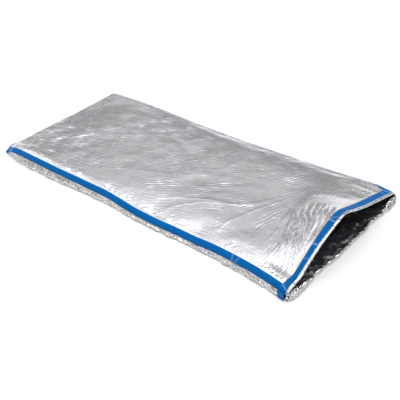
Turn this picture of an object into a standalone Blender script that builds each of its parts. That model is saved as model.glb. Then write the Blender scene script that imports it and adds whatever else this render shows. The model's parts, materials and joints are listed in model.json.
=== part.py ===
"""Infrared sauna blanket: a flat two-walled heated pouch with taped seams and a raised mouth.

The pouch lies along X, with its foot end at -X and its mouth at +X.  Each wall is a stack of outer
film, wadding, heating film with copper bus strips, and inner liner.  The walls are cut into sections
at the two lines where the blanket bends: the foot fold and the bend behind the mouth.
"""
import math

import bmesh
import bpy
from mathutils import Matrix, Vector

# ---- overall sizes (metres) ----
LENGTH = 1.83               # foot end to mouth line
WIDTH = 0.80                # across the side walls
LIP_REACH = 0.04            # how far the lower lip reaches past the mouth line
FOOT_LENGTH = 0.61          # the third that folds over for storage
FLAP_LENGTH = 0.53          # the part of the upper wall that lifts at the mouth

# ---- heights of the upper film's outer face ----
EDGE_HEIGHT = 0.052         # along both long edges
FOOT_NEAR_HEIGHT = 0.036    # where the near edge meets the foot end
FOOT_RISE = 0.30            # the near edge reaches its full height this far from the foot end
CROWN = 0.014               # how far the middle stands above the edges
LIP_NEAR_HEIGHT = 0.058     # lip at the near corner
LIP_FAR_HEIGHT = 0.042      # lip at the far corner
LIP_PEAK_HEIGHT = 0.172     # lip at its raised peak
PEAK_OFFSET = -0.035        # where the peak stands across the width
LIP_RISE_POWER = 1.7        # how late the lip's rise starts behind the mouth
AXIS_CLEARANCE = 0.003      # the joints' axes above the crown

# ---- walls ----
FILM = 0.001
WADDING = 0.007
HEATER = 0.0008
BUS_THICK = 0.0004
BUS_WIDTH = 0.012
BUS_INSET = 0.010           # bus strip's outer edge from the heating film's edge
LINER = 0.001
GAP = 0.0004                # between pieces that lie on each other

# ---- tape and hem ----
TAPE_WIDTH = 0.030
TAPE_THICK = 0.0008
HEM_WIDTH = 0.012
HEM_THICK = 0.003
LIP_INSET = 0.010           # the lower lip starts this far inside the long edges

# ---- wiring at the foot end ----
CHANNEL = 0.020             # free space between the foot wall and the layers
INLET_WIDTH = 0.048
INLET_HEIGHT = 0.017
INLET_DEPTH = 0.026
INLET_PROUD = 0.003         # how far the housing stands out of the foot wall
INLET_Y = 0.230
SOCKET_WALL = 0.0025
CONTACTS = 3
PIN_RADIUS = 0.0016
PIN_PITCH = 0.011
PIN_LENGTH = 0.014
WIRE_RADIUS = 0.0016
TERMINAL_SIZE = (0.012, 0.016)   # along X and along Y
CUTOUT_SIZE = (0.008, 0.030, 0.006)
CUTOUT_Y = 0.120
SENSOR_SIZE = (0.012, 0.006, 0.003)
SENSOR_PLACE = (-0.80, 0.10)

# ---- derived places ----
HALF_WIDTH = WIDTH / 2
FOOT_X = -(LENGTH + LIP_REACH) / 2
MOUTH_X = FOOT_X + LENGTH
FOOT_FOLD_X = FOOT_X + FOOT_LENGTH
BEND_X = MOUTH_X - FLAP_LENGTH
LAYER_HALF = HALF_WIDTH - FILM - GAP
HEATER_HALF = HALF_WIDTH - TAPE_WIDTH
BUS_OUTER = HEATER_HALF - BUS_INSET
BUS_INNER = BUS_OUTER - BUS_WIDTH
LAYER_FOOT_X = FOOT_X + CHANNEL
HEM_X = MOUTH_X - HEM_WIDTH
LAYER_MOUTH_X = HEM_X - TAPE_WIDTH
LOWER_WADDING_Z = FILM + GAP
LOWER_HEATER_Z = LOWER_WADDING_Z + WADDING + GAP
LOWER_BUS_Z = LOWER_HEATER_Z + HEATER + GAP
LOWER_LINER_Z = LOWER_BUS_Z + BUS_THICK + GAP
LOWER_TOP_Z = LOWER_LINER_Z + LINER
UPPER_WADDING_DEPTH = FILM + GAP
UPPER_HEATER_DEPTH = UPPER_WADDING_DEPTH + WADDING + GAP
UPPER_BUS_DEPTH = UPPER_HEATER_DEPTH + HEATER + GAP
UPPER_LINER_DEPTH = UPPER_BUS_DEPTH + BUS_THICK + GAP
AXIS_Z = EDGE_HEIGHT + CROWN + AXIS_CLEARANCE
INLET_Z = LOWER_TOP_Z + GAP + INLET_HEIGHT / 2

# ---- grid ----
FLAP_CELLS = 8              # cells along the raised section, up to the lip tape
FLANK_CELLS = 2             # cells across, from a bus strip to the ridge
LIP_POINTS = 24             # spans round the lower lip's arc
ROUND_SIDES = 12
SLOPE_STEP = 1e-4
SIDES = (("near", -1), ("far", 1))

COLORS = {
    "silver_film": ((0.62, 0.63, 0.65), 0.28, 1.0),
    "wadding": ((0.82, 0.82, 0.80), 0.9, 0.0),
    "heating_film": ((0.03, 0.03, 0.035), 0.5, 0.0),
    "bus_copper": ((0.72, 0.42, 0.26), 0.35, 1.0),
    "dark_liner": ((0.015, 0.015, 0.018), 0.18, 0.0),
    "blue_tape": ((0.01, 0.12, 0.48), 0.3, 0.0),
    "inlet_plastic": ((0.03, 0.03, 0.03), 0.4, 0.0),
    "contact_brass": ((0.75, 0.58, 0.25), 0.3, 1.0),
    "lead_sleeve": ((0.5, 0.03, 0.03), 0.45, 0.0),
}


def clear_scene():
    for old in list(bpy.data.objects):
        bpy.data.objects.remove(old, do_unlink=True)
    parts = bpy.data.collections.new("infrared_sauna_blanket")
    cutters = bpy.data.collections.new("cutters")
    for group in (parts, cutters):
        bpy.context.scene.collection.children.link(group)
    return parts, cutters


def finish_part(obj, slot):
    """Name the mesh, move the object into the parts collection and give it its own material."""
    color, roughness, metallic = COLORS[slot]
    material = bpy.data.materials.new(obj.name + "_material")
    material.use_nodes = True
    shader = material.node_tree.nodes["Principled BSDF"]
    shader.inputs["Base Color"].default_value = (*color, 1.0)
    shader.inputs["Roughness"].default_value = roughness
    shader.inputs["Metallic"].default_value = metallic
    material.diffuse_color = (*color, 1.0)
    obj.data.materials.clear()
    obj.data.materials.append(material)
    obj.data.name = obj.name
    for group in list(obj.users_collection):
        group.objects.unlink(obj)
    PARTS.objects.link(obj)
    return obj


def smoothstep(t):
    t = min(max(t, 0.0), 1.0)
    return t * t * (3 - 2 * t)


def flank_share(y):
    """0 at either long edge, 1 on the ridge."""
    if y < PEAK_OFFSET:
        return (y + HALF_WIDTH) / (PEAK_OFFSET + HALF_WIDTH)
    return (HALF_WIDTH - y) / (HALF_WIDTH - PEAK_OFFSET)


def edge_height(x, near):
    """Height of a long edge: the near one is low where it meets the foot end."""
    lip_edge = LIP_NEAR_HEIGHT if near else LIP_FAR_HEIGHT
    foot_edge = FOOT_NEAR_HEIGHT if near else EDGE_HEIGHT
    rise = smoothstep((x - BEND_X) / FLAP_LENGTH) ** LIP_RISE_POWER
    climb = min((x - FOOT_X) / FOOT_RISE, 1.0)
    return foot_edge + (EDGE_HEIGHT - foot_edge) * climb + (lip_edge - EDGE_HEIGHT) * rise


def top_height(x, y):
    """Height of the upper film's outer face: two straight flanks that meet on the ridge."""
    rise = smoothstep((x - BEND_X) / FLAP_LENGTH) ** LIP_RISE_POWER
    edge = edge_height(x, y < PEAK_OFFSET)
    ridge = (1 - rise) * (EDGE_HEIGHT + CROWN) + rise * LIP_PEAK_HEIGHT
    return edge + (ridge - edge) * flank_share(y)


def inward(x, y):
    """Unit vector from the upper film's outer face into the wall."""
    step = SLOPE_STEP
    slope_x = (top_height(x + step, y) - top_height(x - step, y)) / (2 * step)
    slope_y = (top_height(x, y + step) - top_height(x, y - step)) / (2 * step)
    return Vector((slope_x, slope_y, -1.0)).normalized()


def stations(start, end, cells):
    return [start + (end - start) * i / cells for i in range(cells + 1)]


def across(half):
    """Stations across the width, shared by every layer so that their facets lie parallel."""
    near = [-half, -HEATER_HALF, -BUS_OUTER]
    near += stations(-BUS_INNER, PEAK_OFFSET, FLANK_CELLS)
    far = stations(PEAK_OFFSET, BUS_INNER, FLANK_CELLS)[1:]
    far += [BUS_OUTER, HEATER_HALF, half]
    return near + far


def sheet(name, slot, xs, ys, depth, thickness):
    """A layer of the upper wall: the outer face's grid, sunk by depth and thickened inward."""
    mesh = bpy.data.meshes.new(name)
    grid = bmesh.new()
    columns, rows = len(xs) - 1, len(ys) - 1
    bmesh.ops.create_grid(grid, x_segments=columns, y_segments=rows, size=0.5)
    for vert in grid.verts:
        x = xs[round((vert.co.x + 0.5) * columns)]
        y = ys[round((vert.co.y + 0.5) * rows)]
        vert.co = Vector((x, y, top_height(x, y))) + depth * inward(x, y)
    bmesh.ops.triangulate(grid, faces=grid.faces[:], quad_method="FIXED")
    grid.to_mesh(mesh)
    grid.free()
    obj = bpy.data.objects.new(name, mesh)
    shell = obj.modifiers.new("shell", "SOLIDIFY")
    shell.thickness = thickness
    shell.offset = -1.0
    return finish_part(obj, slot)


def box(name, slot, low, high):
    bpy.ops.mesh.primitive_cube_add(size=1)
    obj = bpy.context.object
    obj.name = name
    obj.scale = [b - a for a, b in zip(low, high)]
    obj.location = [(a + b) / 2 for a, b in zip(low, high)]
    return finish_part(obj, slot)


def rod(name, slot, start, end, radius):
    """A straight round piece between two points."""
    start, end = Vector(start), Vector(end)
    bpy.ops.mesh.primitive_cylinder_add(vertices=ROUND_SIDES, radius=radius, depth=(end - start).length)
    obj = bpy.context.object
    obj.name = name
    obj.location = (start + end) / 2
    obj.rotation_euler = (end - start).to_track_quat("Z", "Y").to_euler()
    return finish_part(obj, slot)


def cut(obj, name, low, high):
    """Cut a box out of an object with a live Boolean."""
    bpy.ops.mesh.primitive_cube_add(size=1)
    cutter = bpy.context.object
    cutter.name = name
    cutter.scale = [b - a for a, b in zip(low, high)]
    cutter.location = [(a + b) / 2 for a, b in zip(low, high)]
    cutter.hide_render = True
    cutter.display_type = "WIRE"
    for group in list(cutter.users_collection):
        group.objects.unlink(cutter)
    CUTTERS.objects.link(cutter)
    boolean = obj.modifiers.new(name, "BOOLEAN")
    boolean.operation = "DIFFERENCE"
    boolean.solver = "EXACT"
    boolean.object = cutter


def standing_film(name, places, thicken_side):
    """A standing wall of film from the lower film up to the upper film, along a row of places."""
    mesh = bpy.data.meshes.new(name)
    wall = bmesh.new()
    cells = len(places) - 1
    bmesh.ops.create_grid(wall, x_segments=cells, y_segments=1, size=0.5)
    for vert in wall.verts:
        x, y = places[round((vert.co.x + 0.5) * cells)]
        top = top_height(x, y) - FILM - 2 * GAP
        vert.co = (x, y, top if vert.co.y > 0 else LOWER_WADDING_Z)
    wall.to_mesh(mesh)
    wall.free()
    obj = bpy.data.objects.new(name, mesh)
    shell = obj.modifiers.new("shell", "SOLIDIFY")
    shell.thickness = FILM
    shell.offset = thicken_side
    return finish_part(obj, "silver_film")


def upper_wall(section, xs, layer_xs):
    """Film, wadding, heating film, two bus strips and liner of one section of the upper wall."""
    half, layer = across(HALF_WIDTH), across(LAYER_HALF)
    heater = across(LAYER_HALF)[1:-1]
    sheet("upper_film_" + section, "silver_film", xs, half, 0.0, FILM)
    sheet("upper_wadding_" + section, "wadding", layer_xs, layer, UPPER_WADDING_DEPTH, WADDING)
    sheet("upper_heater_" + section, "heating_film", layer_xs, heater, UPPER_HEATER_DEPTH, HEATER)
    sheet("upper_liner_" + section, "dark_liner", layer_xs, layer, UPPER_LINER_DEPTH, LINER)
    tail = [bus_start(layer_xs[0])] + layer_xs[1:]
    for side, sign in SIDES:
        ys = sorted((sign * BUS_OUTER, sign * BUS_INNER))
        sheet(f"upper_bus_{side}_{section}", "bus_copper", tail, ys, UPPER_BUS_DEPTH, BUS_THICK)


def bus_start(x):
    """A bus strip that begins at the foot end reaches into the wiring channel."""
    return x - CHANNEL / 2 if x == LAYER_FOOT_X else x


def lower_wall(section, film_x, layer_x):
    """Film, wadding, heating film, two bus strips and liner of one section of the lower wall."""
    layers = (
        ("lower_film_", "silver_film", film_x, HALF_WIDTH, 0.0, FILM),
        ("lower_wadding_", "wadding", layer_x, LAYER_HALF, LOWER_WADDING_Z, WADDING),
        ("lower_heater_", "heating_film", layer_x, HEATER_HALF, LOWER_HEATER_Z, HEATER),
        ("lower_liner_", "dark_liner", layer_x, LAYER_HALF, LOWER_LINER_Z, LINER),
    )
    for prefix, slot, (x0, x1), half, z, thickness in layers:
        box(prefix + section, slot, (x0, -half, z), (x1, half, z + thickness))
    for side, sign in SIDES:
        y0, y1 = sorted((sign * BUS_OUTER, sign * BUS_INNER))
        low = (bus_start(layer_x[0]), y0, LOWER_BUS_Z)
        box(f"lower_bus_{side}_{section}", "bus_copper", low, (layer_x[1], y1, LOWER_BUS_Z + BUS_THICK))


def tape(name, xs, ys):
    """A strip of tape on the upper film."""
    sheet(name, "blue_tape", xs, ys, -GAP - TAPE_THICK, TAPE_THICK)


def side_film(name, xs, sign):
    """The standing film of one long edge; sign is -1 on the near edge and 1 on the far one."""
    standing_film(name, [(x, sign * HALF_WIDTH) for x in xs], sign)


def side_tape(name, xs, sign):
    tape(name, xs, sorted((sign * HEATER_HALF, sign * HALF_WIDTH)))


def corner_tail(side, sign):
    """The lip tape's tail down the outside of a mouth corner."""
    lip = LIP_NEAR_HEIGHT if sign < 0 else LIP_FAR_HEIGHT
    y0, y1 = sorted((sign * (HALF_WIDTH + GAP + TAPE_THICK), sign * (HALF_WIDTH + GAP)))
    low = (LAYER_MOUTH_X, y0, LOWER_WADDING_Z)
    box(side + "_corner_tail", "blue_tape", low, (HEM_X, y1, lip - TAPE_THICK))


def foot_wall():
    places = [(FOOT_X, y) for y in across(LAYER_HALF - GAP)]
    wall = standing_film("foot_wall_film", places, 1)
    y, z = INLET_WIDTH / 2 + GAP, INLET_HEIGHT / 2 + GAP
    low = (FOOT_X - FILM * 2, INLET_Y - y, INLET_Z - z)
    cut(wall, "inlet_hole", low, (FOOT_X + FILM * 2, INLET_Y + y, INLET_Z + z))


def inlet():
    """The power inlet: a housing with an open socket, and three contacts in it."""
    front = FOOT_X - INLET_PROUD
    y, z = INLET_WIDTH / 2, INLET_HEIGHT / 2
    low = Vector((front, INLET_Y - y, INLET_Z - z))
    high = Vector((front + INLET_DEPTH, INLET_Y + y, INLET_Z + z))
    housing = box("inlet_housing", "inlet_plastic", low, high)
    wall = Vector((SOCKET_WALL, SOCKET_WALL, SOCKET_WALL))
    opening = Vector((low.x - SOCKET_WALL, low.y + SOCKET_WALL, low.z + SOCKET_WALL))
    cut(housing, "socket_recess", opening, high - wall)
    pin_back = high.x - SOCKET_WALL - GAP
    for index in range(CONTACTS):
        pin_y = INLET_Y + (index - (CONTACTS - 1) / 2) * PIN_PITCH
        rod(f"inlet_contact_{index + 1}", "contact_brass", (pin_back - PIN_LENGTH, pin_y, INLET_Z),
            (pin_back, pin_y, INLET_Z), PIN_RADIUS)


def wiring():
    """Terminals on the bus strips' tails, the cut-out, and the wires that join them to the inlet."""
    x = FOOT_X + CHANNEL / 2
    bus_y = (BUS_OUTER + BUS_INNER) / 2
    block_x, block_y = (size / 2 for size in TERMINAL_SIZE)
    bottom = LOWER_BUS_Z + BUS_THICK + GAP
    for side, sign in SIDES:
        y = sign * bus_y
        top = top_height(x, sign * (bus_y + block_y)) - UPPER_BUS_DEPTH - BUS_THICK - 2 * GAP
        low = (x - block_x, y - block_y, bottom)
        box(side + "_terminal", "inlet_plastic", low, (x + block_x, y + block_y, top))
    cut_x, cut_y, cut_z = (size / 2 for size in CUTOUT_SIZE)
    box("thermal_cutout", "contact_brass", (x - cut_x, CUTOUT_Y - cut_y, INLET_Z - cut_z),
        (x + cut_x, CUTOUT_Y + cut_y, INLET_Z + cut_z))
    runs = (
        ("near_feed_wire", -bus_y + block_y, CUTOUT_Y - cut_y),
        ("cutout_wire", CUTOUT_Y + cut_y, INLET_Y - INLET_WIDTH / 2),
        ("far_feed_wire", INLET_Y + INLET_WIDTH / 2, bus_y - block_y),
    )
    for name, start, end in runs:
        rod(name, "lead_sleeve", (x, start + GAP, INLET_Z), (x, end - GAP, INLET_Z), WIRE_RADIUS)


def sensor(wadding):
    """The temperature sensor, in a pocket of the wadding under the heating film."""
    top = LOWER_HEATER_Z - GAP
    low = Vector((SENSOR_PLACE[0], SENSOR_PLACE[1], top)) - Vector(SENSOR_SIZE) / 2
    low.z = top - SENSOR_SIZE[2]
    high = low + Vector(SENSOR_SIZE)
    box("temperature_sensor", "inlet_plastic", low, high)
    room = Vector((GAP, GAP, GAP))
    cut(wadding, "sensor_pocket", low - room, high + 2 * room)


def lower_lip():
    """The lower film's free edge: a shallow arc past the mouth line."""
    half = HALF_WIDTH - LIP_INSET
    radius = (half ** 2 + LIP_REACH ** 2) / (2 * LIP_REACH)
    swing = math.asin(half / radius)
    curve = bpy.data.curves.new("lower_lip", "CURVE")
    curve.dimensions = "2D"
    curve.fill_mode = "BOTH"
    curve.extrude = FILM / 2
    outline = curve.splines.new("POLY")
    outline.points.add(LIP_POINTS)
    outline.use_cyclic_u = True
    for index, point in enumerate(outline.points):
        angle = swing * (2 * index / LIP_POINTS - 1)
        reach = radius * math.cos(angle) - (radius - LIP_REACH)
        point.co = (MOUTH_X + GAP + reach, radius * math.sin(angle), 0, 1)
    obj = bpy.data.objects.new("lower_lip", curve)
    obj.location.z = FILM / 2
    finish_part(obj, "silver_film")


def foot_section(xs):
    """Everything on the foot side of the foot fold."""
    lower_wall("foot", (FOOT_X, xs[-1]), (LAYER_FOOT_X, xs[-1]))
    sensor(bpy.data.objects["lower_wadding_foot"])
    upper_wall("foot", [FOOT_X, LAYER_FOOT_X] + xs, [LAYER_FOOT_X] + xs)
    for side, sign in SIDES:
        side_film(f"{side}_side_film_foot", [FOOT_X + FILM + GAP] + xs, sign)
        side_tape(f"{side}_tape_foot", [FOOT_X + TAPE_WIDTH + GAP] + xs, sign)
    foot_wall()
    tape("foot_tape", [FOOT_X, FOOT_X + TAPE_WIDTH], across(HALF_WIDTH))
    inlet()
    wiring()


def body_section(start, end, lip_xs):
    """The whole lower wall beyond the fold, the upper wall up to the bend, and the mouth's gussets."""
    lower_wall("body", (start, MOUTH_X), (start, HEM_X))
    lower_lip()
    upper_wall("body", [start, end], [start, end])
    for side, sign in SIDES:
        side_film(f"{side}_side_film_body", [start, end], sign)
        side_tape(f"{side}_tape_body", [start, end], sign)
        side_film(f"{side}_gusset_lip", lip_xs + [HEM_X], sign)
        corner_tail(side, sign)


def lip_section(xs):
    """The upper wall beyond the bend, with the lip's tape and hem."""
    upper_wall("lip", xs + [HEM_X], xs)
    for side, sign in SIDES:
        side_tape(f"{side}_tape_lip", xs, sign)
    tape("lip_tape", [LAYER_MOUTH_X + GAP, HEM_X], across(HALF_WIDTH))
    sheet("lip_hem", "silver_film", [HEM_X + GAP, MOUTH_X], across(HALF_WIDTH), 0.0, HEM_THICK)


def hang_on_axis(name, x, pieces):
    """Parent the pieces to an empty on the joint's axis."""
    axis = bpy.data.objects.new(name, None)
    axis.location = (x, 0, AXIS_Z)
    bpy.context.scene.collection.objects.link(axis)
    for piece in pieces:
        piece.parent = axis
        piece.matrix_parent_inverse = Matrix.Translation(axis.location).inverted()


def build():
    """The three sections, with the two that move hung on their joints' axes."""
    half_gap = GAP / 2
    lip_xs = stations(BEND_X + half_gap, LAYER_MOUTH_X, FLAP_CELLS)
    body_section(FOOT_FOLD_X + half_gap, BEND_X - half_gap, lip_xs)
    still = set(PARTS.objects)
    foot_section([FOOT_X + FOOT_RISE, FOOT_FOLD_X - half_gap])
    foot_pieces = set(PARTS.objects) - still
    hang_on_axis("foot_fold_axis", FOOT_FOLD_X, foot_pieces)
    lip_section(lip_xs)
    hang_on_axis("lip_lift_axis", BEND_X, set(PARTS.objects) - still - foot_pieces)


PARTS, CUTTERS = clear_scene()
build()
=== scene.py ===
"""Looks of the infrared sauna blanket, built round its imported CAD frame.

The outer film, wadding, heating film and liner of each wall are grids of points worked out with
numpy from the bag's edge curves.  A wrinkle field, made of filtered random fields, crinkles them.
"""
import json
import math

import bmesh
import bpy
import numpy as np
from mathutils import Matrix, Vector


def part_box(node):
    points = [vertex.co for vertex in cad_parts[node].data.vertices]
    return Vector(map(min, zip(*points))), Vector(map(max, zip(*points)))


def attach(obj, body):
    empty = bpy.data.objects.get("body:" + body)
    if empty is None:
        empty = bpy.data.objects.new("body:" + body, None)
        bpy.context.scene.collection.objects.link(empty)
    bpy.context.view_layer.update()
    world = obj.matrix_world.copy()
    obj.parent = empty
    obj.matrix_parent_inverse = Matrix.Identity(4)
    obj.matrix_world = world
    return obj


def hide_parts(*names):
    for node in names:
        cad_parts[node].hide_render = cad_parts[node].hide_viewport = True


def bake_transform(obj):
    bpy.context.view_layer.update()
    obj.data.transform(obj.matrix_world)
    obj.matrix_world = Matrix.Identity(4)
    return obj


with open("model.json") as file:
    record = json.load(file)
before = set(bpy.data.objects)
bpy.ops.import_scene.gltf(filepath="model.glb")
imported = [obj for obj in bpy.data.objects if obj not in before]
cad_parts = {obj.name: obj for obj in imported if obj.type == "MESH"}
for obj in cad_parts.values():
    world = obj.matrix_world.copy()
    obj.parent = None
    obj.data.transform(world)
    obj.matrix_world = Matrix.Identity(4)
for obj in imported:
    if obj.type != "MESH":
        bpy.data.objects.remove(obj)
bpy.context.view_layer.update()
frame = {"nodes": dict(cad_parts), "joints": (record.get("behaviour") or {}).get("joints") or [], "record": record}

# ---- places taken from the frame (metres) ----
JOINTS = {joint["name"]: joint for joint in frame["joints"]}
FOOT_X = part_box("lower_film_foot")[0][0]
MOUTH_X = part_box("lower_film_body")[1][0]
HALF_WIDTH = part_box("lower_film_body")[1][1]
FOLD_X = JOINTS["foot_fold"]["pos_m"][0]
BEND_X = JOINTS["lip_lift"]["pos_m"][0]
LENGTH = MOUTH_X - FOOT_X

# ---- edge curves: distance from the foot end, then the value there ----
NEAR_INSET = ((0, 0.004), (0.08, 0.0), (0.22, -0.006), (0.34, -0.004), (0.46, -0.002), (0.56, 0.003),
              (0.66, 0.008), (0.85, 0.014), (1.04, 0.011), (1.21, 0.014), (1.29, 0.019), (1.58, 0.020),
              (1.72, 0.012), (1.79, 0.006), (1.83, 0.004))
NEAR_HEIGHT = ((0, 0.010), (0.03, 0.022), (0.10, 0.040), (0.16, 0.047), (0.32, 0.050), (0.54, 0.048),
               (0.72, 0.045), (0.80, 0.045), (0.90, 0.038), (1.02, 0.031), (1.12, 0.031), (1.24, 0.033),
               (1.35, 0.031), (1.44, 0.037), (1.54, 0.040), (1.70, 0.040), (1.78, 0.036), (1.83, 0.031))
FAR_HEIGHT = ((0, 0.046), (0.31, 0.050), (0.55, 0.041), (0.77, 0.034), (1.00, 0.032), (1.25, 0.036),
              (1.43, 0.039), (1.58, 0.044), (1.70, 0.050), (1.77, 0.048), (1.83, 0.036))
CROWN_HEIGHT = ((0, 0.050), (0.20, 0.060), (0.50, 0.066), (0.90, 0.068), (1.30, 0.068), (1.83, 0.068))
FLOOR_OUTSET = ((0, 0.002), (0.08, 0.010), (0.22, 0.012), (0.46, 0.011), (0.60, 0.005), (0.75, 0.004),
                (1.00, 0.005), (1.10, 0.004), (1.30, 0.003), (1.60, 0.003), (1.75, 0.005), (1.83, 0.004))

# ---- end curves: distance from the near edge, then the value there ----
FOOT_HEIGHT = ((0, 0.018), (0.08, 0.031), (0.21, 0.036), (0.35, 0.041), (0.49, 0.046), (0.64, 0.055),
               (0.80, 0.060))
LIP_OUTLINE = ((0, 0.032), (0.04, 0.038), (0.08, 0.056), (0.12, 0.079), (0.16, 0.101), (0.20, 0.121),
               (0.25, 0.138), (0.30, 0.156), (0.345, 0.170), (0.375, 0.170), (0.43, 0.150), (0.50, 0.125),
               (0.57, 0.103), (0.64, 0.085), (0.715, 0.064), (0.78, 0.050), (0.80, 0.046))
RIM_REACH = ((0, 0.002), (0.03, 0.007), (0.10, 0.010), (0.15, 0.006), (0.20, 0.004), (0.25, 0.008),
             (0.37, 0.011), (0.43, 0.009), (0.51, 0.011), (0.58, 0.008), (0.66, 0.010), (0.74, 0.012),
             (0.785, 0.006), (0.80, -0.002))
TENT_BASE = ((0, 0.14), (0.05, 0.15), (0.42, 0.26), (0.60, 0.30), (0.80, 0.30))     # the tent's length
LIP_TAPE_WIDTH = ((0, 0.029), (0.03, 0.024), (0.20, 0.023), (0.26, 0.027), (0.36, 0.030), (0.80, 0.028))

# ---- film, tape and tent ----
TAPE_DROP = 0.021           # height of the tape's band on the rolled edge
TAPE_RUN = 0.020            # its width in plan
ROLL_RUN = 0.018            # the roll from the tape up to the flat film, in plan
ROLL_RISE = 0.005
FOOT_BAND = 0.012           # the foot end's rolled edge, in plan
LIP_TAPE = 0.030
HEM = 0.013
RIDGE_DRIFT = 0.25          # how far the ridge drifts to the far side per metre behind the mouth
DOME_TOP = 3.3              # brightness of the dome overhead
DOME_LEVELS = ((0, 0.95), (5, 0.85), (11, 0.27), (20, 0.33), (27, 0.48), (34, 0.58), (40, 0.64), (46, 0.76),
               (53, 0.95), (63, 1.25), (70, DOME_TOP))      # the dome's elevation in degrees, then brightness
WALL_GLOW = ((-0.92, -0.05, 0.38), 0.895, 0.965, 1.3)   # a pale spot that the tent's near flank mirrors
CLUTTER = 0.9               # how far the dome's brightness strays up and down, from CLEAR_BELOW upward
CLEAR_BELOW = (10, 18)      # degrees: none of it under the first, all of it over the second
STEP = 0.0036               # spacing of the film's grid
FILM = 0.0004               # thickness of the film
TAPE = 0.0005               # and of the tape
TAPE_LIFT = 0.0007
FAR_TAPE_DRIFT = 0.022      # how far the far tape comes in over the film at the mouth corner
LIP_BEND = 0.060            # the lip's stretch starts this far before the lip's axis
EDGE_CELLS = 11             # the inner layers stop this many cells inside the film's edges
WALL_LEVELS = 17            # rows of points from the tape down to the floor
BUS_DEPTH = 0.0116          # the bus strips' depth under the film
# the layers under the upper film: name, depth, thickness, material slot
LAYERS = (("wadding", 0.0030, 0.0065, "wadding"), ("heater", 0.0106, 0.0006, "heating_film"),
          ("liner", 0.0122, 0.0005, "dark_liner"))
WADDING_TOP, HEATER_TOP, BUS_TOP, LINER_TOP = 0.0082, 0.0092, 0.0098, 0.0115     # the lower wall's levels
# cross creases in the tapes: share of the tape's length, strength, slant
EDGE_CREASES = {"foot": ((0.085, 0.9, 1), (0.115, 0.7, -1)), "body": (),
                "lip": ((0.56, 0.35, 1), (0.60, 0.3, -1))}
FOOT_CREASES = ((0.035, 0.7, 1), (0.3, 0.3, 0), (0.62, 0.4, 1))
LIP_CREASES = ((0.03, 0.4, 1), (0.19, 0.2, 0), (0.262, 0.7, 0), (0.405, 0.55, 1), (0.425, 0.35, -1),
               (0.62, 0.15, 1), (0.90, 0.5, 1), (0.93, 0.6, -1), (0.955, 0.5, 0), (0.975, 0.4, 1))


# ---- camera, light, floor ----

def camera():
    """The photograph's viewpoint: a long lens, seen from the near mouth corner."""
    azimuth, elevation, roll = math.radians(44.75), math.radians(33.85), math.radians(-4.42)
    distance, sensor, focal = 2.682, 36.0, 53.47
    target = Vector((0.2114, -0.1097, 0.0))
    back = Vector((math.sin(azimuth) * math.cos(elevation), -math.cos(azimuth) * math.cos(elevation),
                   math.sin(elevation)))
    data = bpy.data.cameras.new("camera")
    data.sensor_width = sensor
    data.lens = focal
    obj = bpy.data.objects.new("camera", data)
    bpy.context.scene.collection.objects.link(obj)
    turn = back.to_track_quat("Z", "Y").to_matrix().to_4x4()
    obj.matrix_world = Matrix.Translation(target + back * distance) @ turn @ Matrix.Rotation(roll, 4, "Z")
    bpy.context.scene.camera = obj


def glow(tree, coords, direction, start, full, extra):
    """A soft bright spot in the dome round a direction."""
    toward = tree.nodes.new("ShaderNodeVectorMath")
    toward.operation = "DOT_PRODUCT"
    toward.inputs[1].default_value = direction
    tree.links.new(coords.outputs["Generated"], toward.inputs[0])
    return spread(tree, toward.outputs["Value"], 0.0, extra, start, full, "SMOOTHSTEP")


def surroundings():
    """A studio dome that is pale at the horizon, darker above it, bright overhead and unevenly lit."""
    world = bpy.data.worlds.new("studio")
    bpy.context.scene.world = world
    world.use_nodes = True
    tree = world.node_tree
    coords = tree.nodes.new("ShaderNodeTexCoord")
    split = tree.nodes.new("ShaderNodeSeparateXYZ")
    ramp = tree.nodes.new("ShaderNodeValToRGB")
    tree.links.new(coords.outputs["Generated"], split.inputs[0])
    tree.links.new(split.outputs["Z"], ramp.inputs["Fac"])
    tree.links.new(ramp.outputs["Color"], tree.nodes["Background"].inputs["Color"])
    stops = ramp.color_ramp
    while len(stops.elements) < len(DOME_LEVELS):
        stops.elements.new(0.5)
    for stop, (elevation, value) in zip(stops.elements, DOME_LEVELS):
        stop.position = math.sin(math.radians(elevation))
        stop.color = (value / DOME_TOP, value / DOME_TOP, value / DOME_TOP, 1)
    clutter = noise_on(tree, coords.outputs["Generated"], 9, 3)
    strength = math_node(tree, "ADD", 1.0, glow(tree, coords, *WALL_GLOW))
    heights = [math.sin(math.radians(elevation)) for elevation in CLEAR_BELOW]
    above = spread(tree, split.outputs["Z"], 0.0, 1.0, *heights)
    change = spread(tree, clutter, -CLUTTER, CLUTTER)
    change = math_node(tree, "MULTIPLY", change, above)
    uneven = math_node(tree, "MULTIPLY", strength, math_node(tree, "ADD", change, 1.0))
    uneven = math_node(tree, "MULTIPLY", uneven, DOME_TOP)
    tree.links.new(uneven, tree.nodes["Background"].inputs["Strength"])


def floor():
    bpy.ops.mesh.primitive_plane_add(size=60)
    obj = bpy.context.object
    obj.name = "studio_floor"
    obj.location.z = -0.0004
    material, shader = new_material("studio_floor", (0.97, 0.97, 0.97), 0.9)
    shader.inputs["Specular IOR Level"].default_value = 0.1
    obj.data.materials.append(material)


# ---- number fields ----

def hermite(t, start, end, start_slope, end_slope):
    """A cubic from start to end, for t from 0 to 1, with those slopes at its ends."""
    rise = t * t * (3 - 2 * t)
    bends = (t ** 3 - 2 * t ** 2 + t) * start_slope + (t ** 3 - t ** 2) * end_slope
    return start + (end - start) * rise + bends


def curve(points, x):
    """A smooth curve through a few (place, value) points, at each x."""
    places, values = np.array(points, float).T
    slopes = np.gradient(values, places)
    x = np.clip(np.asarray(x, float), places[0], places[-1])
    i = np.clip(np.searchsorted(places, x) - 1, 0, len(places) - 2)
    width = places[i + 1] - places[i]
    t = (x - places[i]) / width
    return hermite(t, values[i], values[i + 1], width * slopes[i], width * slopes[i + 1])


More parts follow.
